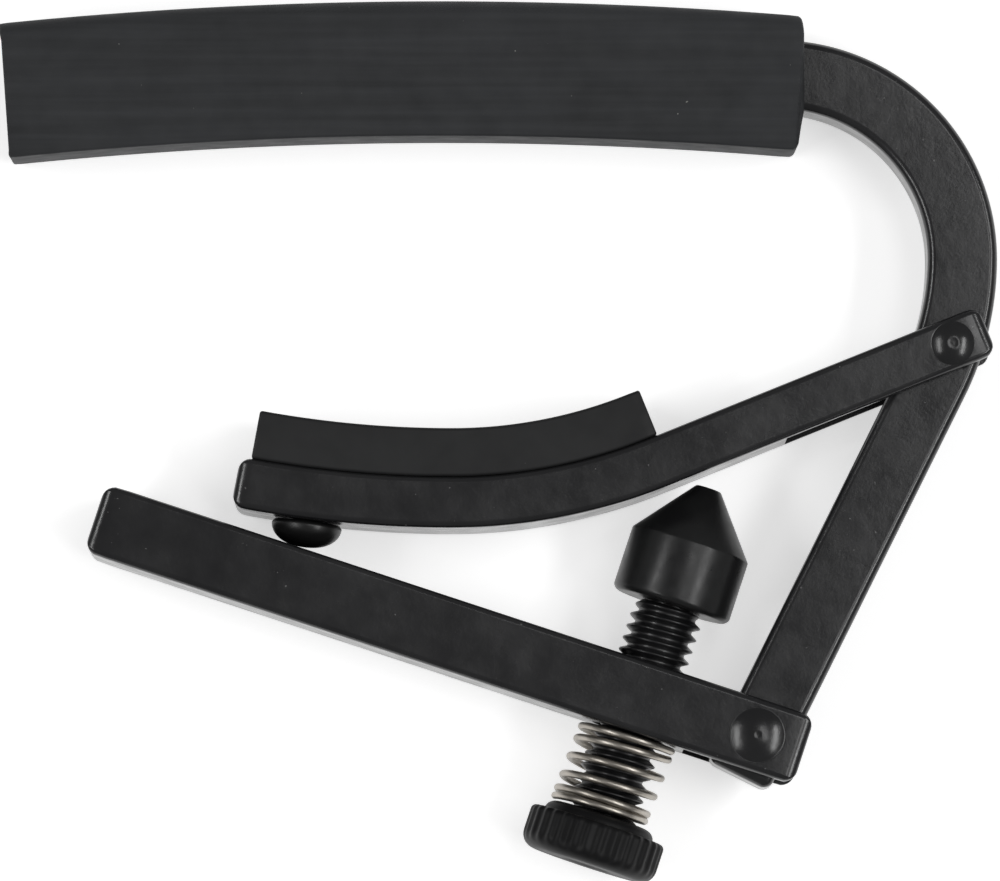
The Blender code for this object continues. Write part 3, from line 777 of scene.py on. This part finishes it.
class Shader:
    """A Principled material under construction."""

    def __init__(self, name, roughness, metallic=0.0, specular=0.5):
        self.material = bpy.data.materials.new(name)
        self.material.use_nodes = True
        self.tree = self.material.node_tree
        self.main = self.tree.nodes["Principled BSDF"]
        self.main.inputs["Roughness"].default_value = roughness
        self.main.inputs["Metallic"].default_value = metallic
        self.main.inputs["Specular IOR Level"].default_value = specular
        self.place = self.tree.nodes.new("ShaderNodeTexCoord")
        self.height = None

    def link(self, output, target):
        self.tree.links.new(output, target)

    def noise(self, scale, detail=3.0, stretch=(1, 1, 1), source="Object"):
        mapping = self.tree.nodes.new("ShaderNodeMapping")
        mapping.inputs["Scale"].default_value = stretch
        self.link(self.place.outputs[source], mapping.inputs["Vector"])
        noise = self.tree.nodes.new("ShaderNodeTexNoise")
        noise.inputs["Scale"].default_value = scale
        noise.inputs["Detail"].default_value = detail
        self.link(mapping.outputs["Vector"], noise.inputs["Vector"])
        return noise.outputs["Fac"]

    def spread(self, value, low, high, to_low=0.0, to_high=1.0):
        node = self.tree.nodes.new("ShaderNodeMapRange")
        node.inputs["From Min"].default_value = low
        node.inputs["From Max"].default_value = high
        node.inputs["To Min"].default_value = to_low
        node.inputs["To Max"].default_value = to_high
        self.link(value, node.inputs["Value"])
        return node.outputs["Result"]

    def mix(self, share, first, second):
        node = self.tree.nodes.new("ShaderNodeMix")
        node.data_type = "RGBA"
        self.link(share, node.inputs[0])
        for socket, colour in ((node.inputs[6], first), (node.inputs[7], second)):
            if isinstance(colour, tuple):
                socket.default_value = (*colour, 1.0)
            else:
                self.link(colour, socket)
        return node.outputs[2]

    def colour(self, output):
        self.link(output, self.main.inputs["Base Color"])

    def roughness(self, value, low, high):
        self.link(self.spread(value, 0.3, 0.7, low, high), self.main.inputs["Roughness"])

    def bump(self, value, distance, strength=1.0):
        """Adds a layer of relief, in metres."""
        node = self.tree.nodes.new("ShaderNodeBump")
        node.inputs["Strength"].default_value = strength
        node.inputs["Distance"].default_value = distance
        self.link(value, node.inputs["Height"])
        if self.height:
            self.link(self.height, node.inputs["Normal"])
        self.height = node.outputs["Normal"]
        self.link(self.height, self.main.inputs["Normal"])


def black_plating(name, tone=1.0, roughness=(0.17, 0.27), specks=True, specular=0.55):
    """Black plating over steel: faint orange peel, patchy sheen, and a few dust specks."""
    shader = Shader(name, 0.3, specular=specular)
    cloud = shader.noise(160, 4)
    dark = (0.010 * tone, 0.010 * tone, 0.011 * tone)
    light = (0.017 * tone, 0.017 * tone, 0.018 * tone)
    colour = shader.mix(shader.spread(cloud, 0.35, 0.65), dark, light)
    if specks:
        dust = shader.spread(shader.noise(2600, 1), 0.79, 0.82)
        colour = shader.mix(dust, colour, (0.11, 0.11, 0.11))
    shader.colour(colour)
    shader.roughness(shader.noise(420, 3), *roughness)
    shader.bump(shader.noise(900, 3), 0.03 * MM, 0.5)
    shader.bump(shader.noise(4200, 3), 0.012 * MM, 0.4)
    return shader.material


def rubber(name, dark, light, streaks=0.0, roughness=(0.5, 0.66), specks=0.8, specular=0.3):
    """Matt rubber with a fine grain, and streaks along the length where it was extruded."""
    shader = Shader(name, 0.58, specular=specular)
    cloud = shader.noise(110, 3)
    colour = shader.mix(shader.spread(cloud, 0.3, 0.7), dark, light)
    if streaks:
        lines = shader.noise(1500, 4, (0.03, 1, 1))
        share = shader.spread(lines, 0.35, 0.75, 0.0, streaks)
        colour = shader.mix(share, colour, tuple(1.9 * c for c in light))
        shader.bump(lines, 0.012 * MM, 0.6)
    dust = shader.spread(shader.noise(1700, 1), specks, specks + 0.03)
    shader.colour(shader.mix(dust, colour, (0.2, 0.2, 0.19)))
    shader.roughness(shader.noise(500, 3), *roughness)
    shader.bump(shader.noise(3800, 3), 0.012 * MM, 0.4)
    return shader.material


def turned_plastic():
    """Black acetal with faint tool marks round it."""
    shader = Shader("turned_plastic", 0.34, specular=0.38)
    cloud = shader.noise(300, 3)
    shader.colour(shader.mix(shader.spread(cloud, 0.3, 0.7), (0.008, 0.008, 0.0085), (0.013, 0.0135, 0.0135)))
    shader.roughness(shader.noise(900, 2), 0.27, 0.38)
    shader.bump(shader.noise(4200, 2, (1, 1, 0.3)), 0.005 * MM, 0.4)
    return shader.material


def spring_wire():
    """Drawn stainless wire with lines along it and a faint straw tint."""
    shader = Shader("spring_wire", 0.2, metallic=1.0)
    cloud = shader.noise(500, 3)
    shader.colour(shader.mix(shader.spread(cloud, 0.3, 0.7), (0.33, 0.305, 0.27), (0.46, 0.43, 0.385)))
    shader.roughness(shader.noise(2500, 2), 0.3, 0.4)
    shader.bump(shader.noise(5, 2, (0.05, 60, 1), "UV"), 0.004 * MM, 0.35)
    return shader.material


def coat(obj, material):
    obj.data.materials.clear()
    obj.data.materials.append(material)


# ---------------------------------------------------------------- stage

def make_stage():
    size = 4.0
    mesh = bpy.data.meshes.new("floor")
    corners = [(-size, -size, 0), (size, -size, 0), (size, size, 0), (-size, size, 0)]
    mesh.from_pydata(corners, [], [(0, 1, 2, 3)])
    floor = bpy.data.objects.new("floor", mesh)
    floor.location.z = CAD_BOX[0][2] - 0.02 * MM
    bpy.context.scene.collection.objects.link(floor)
    shader = Shader("floor_paint", 0.9, specular=0.1)
    shader.colour(shader.mix(shader.noise(3, 2), (0.90, 0.90, 0.90), (0.93, 0.93, 0.93)))
    shader.main.inputs["Emission Color"].default_value = (1.0, 1.0, 1.0, 1)
    shader.main.inputs["Emission Strength"].default_value = 0.55
    coat(floor, shader.material)


def add_softbox(name, place, size, power):
    """A rectangular lamp turned towards the object; its first size is the one along Y."""
    lamp = bpy.data.lights.new(name, "AREA")
    lamp.shape = "RECTANGLE"
    lamp.size, lamp.size_y = size
    lamp.energy = power
    obj = bpy.data.objects.new(name, lamp)
    obj.location = place
    obj.rotation_euler = (-Vector(place)).to_track_quat("-Z", "Y").to_euler()
    bpy.context.scene.collection.objects.link(obj)


def make_light():
    world = bpy.data.worlds.new("studio")
    world.use_nodes = True
    background = world.node_tree.nodes["Background"]
    background.inputs["Color"].default_value = (1.0, 1.0, 1.0, 1)
    background.inputs["Strength"].default_value = 0.2
    bpy.context.scene.world = world
    bpy.context.scene.view_settings.view_transform = "Standard"
    add_softbox("left_softbox", (-0.62, -0.02, 0.72), (0.7, 0.14), 2.6)
    add_softbox("right_softbox", (0.58, -0.08, 0.74), (0.8, 0.14), 3.0)
    add_softbox("overhead_card", (0.25, 0.08, 0.95), (0.5, 0.2), 1.0)


def make_camera():
    """Almost straight above, a little towards the lever side, with a long lens."""
    camera = bpy.data.cameras.new("camera")
    camera.sensor_width = 36.0
    camera.lens = 372.6
    camera.clip_start = 0.05
    camera.clip_end = 20.0
    obj = bpy.data.objects.new("camera", camera)
    obj.location = (-0.00382, -0.06604, MIDDLE_Z + 0.851)
    back = (obj.location - Vector((0.00023, 0.00024, MIDDLE_Z))).normalized()
    right = Vector((0, 1, 0)).cross(back).normalized()
    turn = Matrix((right, back.cross(right), back)).transposed()
    obj.rotation_euler = turn.to_euler()
    bpy.context.scene.collection.objects.link(obj)
    bpy.context.scene.camera = obj


def main():
    plating = black_plating("black_plating")
    rivet_finish = black_plating("rivet_plating", 0.9, (0.2, 0.26), False)
    coat(make_frame_bar(), plating)
    coat(make_arm(), plating)
    coat(make_lever(), plating)
    arm_dimple = (0.4 * MM, 0.06 * MM)
    coat(make_rivet("arm_rivet_head", "arm_rivet", ARM_PIVOT, ARM_RIVET_HEAD, *arm_dimple), rivet_finish)
    lever_dimple = (0.24 * MM, 0.04 * MM)
    lever_head = make_rivet("lever_rivet_head", "lever_rivet", LEVER_PIVOT, LEVER_RIVET_HEAD, *lever_dimple)
    coat(lever_head, rivet_finish)
    sleeve_finish = rubber("sleeve_rubber", (0.021, 0.022, 0.0235), (0.029, 0.0305, 0.033), 0.3, (0.62, 0.78))
    coat(make_sleeve(), sleeve_finish)
    pad = make_pad()
    coat(pad, rubber("pad_rubber", (0.012, 0.012, 0.0125), (0.018, 0.0185, 0.019)))
    glossy = {"streaks": 0, "roughness": (0.3, 0.42), "specks": 0.9, "specular": 0.5}
    coat(make_bumper(), rubber("bumper_rubber", (0.006, 0.006, 0.006), (0.009, 0.009, 0.009), **glossy))
    coat(make_screw(), black_plating("screw_finish", 0.7, (0.26, 0.38), False))
    coat(make_cap(), turned_plastic())
    coat(make_knob(), black_plating("knob_finish", 0.4, (0.42, 0.52), False, 0.16))
    coat(make_spring(), spring_wire())
    make_stage()
    make_light()
    make_camera()


main()
